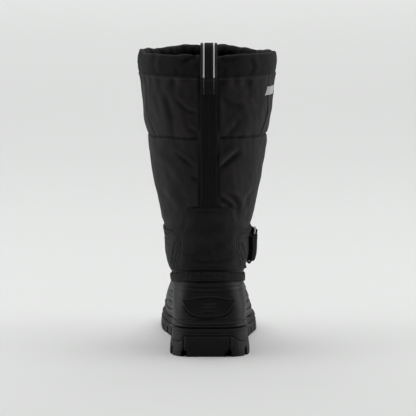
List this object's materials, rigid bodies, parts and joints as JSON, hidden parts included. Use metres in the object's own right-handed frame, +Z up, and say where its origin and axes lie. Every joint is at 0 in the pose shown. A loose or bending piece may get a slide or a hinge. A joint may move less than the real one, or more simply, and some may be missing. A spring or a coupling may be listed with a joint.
{
  "type": "snow boot",
  "caption": "Tall right-foot snow boot: padded nylon shaft, moulded rubber shell, leatherette ankle and heel, ankle strap with ring, lugged sole.",
  "frame": {"origin": "centre of the boot's footprint box, at floor level", "axes": "+X to the outer side of the right foot, +Y to the toe, +Z up"},
  "size_m": [0.159, 0.3053, 0.3577],
  "materials": {
    "outsole_rubber": "matt moulded rubber",
    "shell_rubber": "satin moulded rubber",
    "nylon": "coated nylon, quilted",
    "leatherette": "fine-grained coated leather",
    "webbing": "woven webbing",
    "steel": "plain wire",
    "felt": "felt insole"
  },
  "bodies": {
    "root": {"outsole": "outsole_rubber", "shell": "shell_rubber", "upper": "nylon", "insole": "felt", "quarter": "leatherette", "counter": "leatherette", "band": "nylon", "strap": "webbing", "ring_tab": "webbing", "strap_ring": "steel", "back_stay": "webbing", "pull_loop": "webbing"}
  },
  "joints": []
}
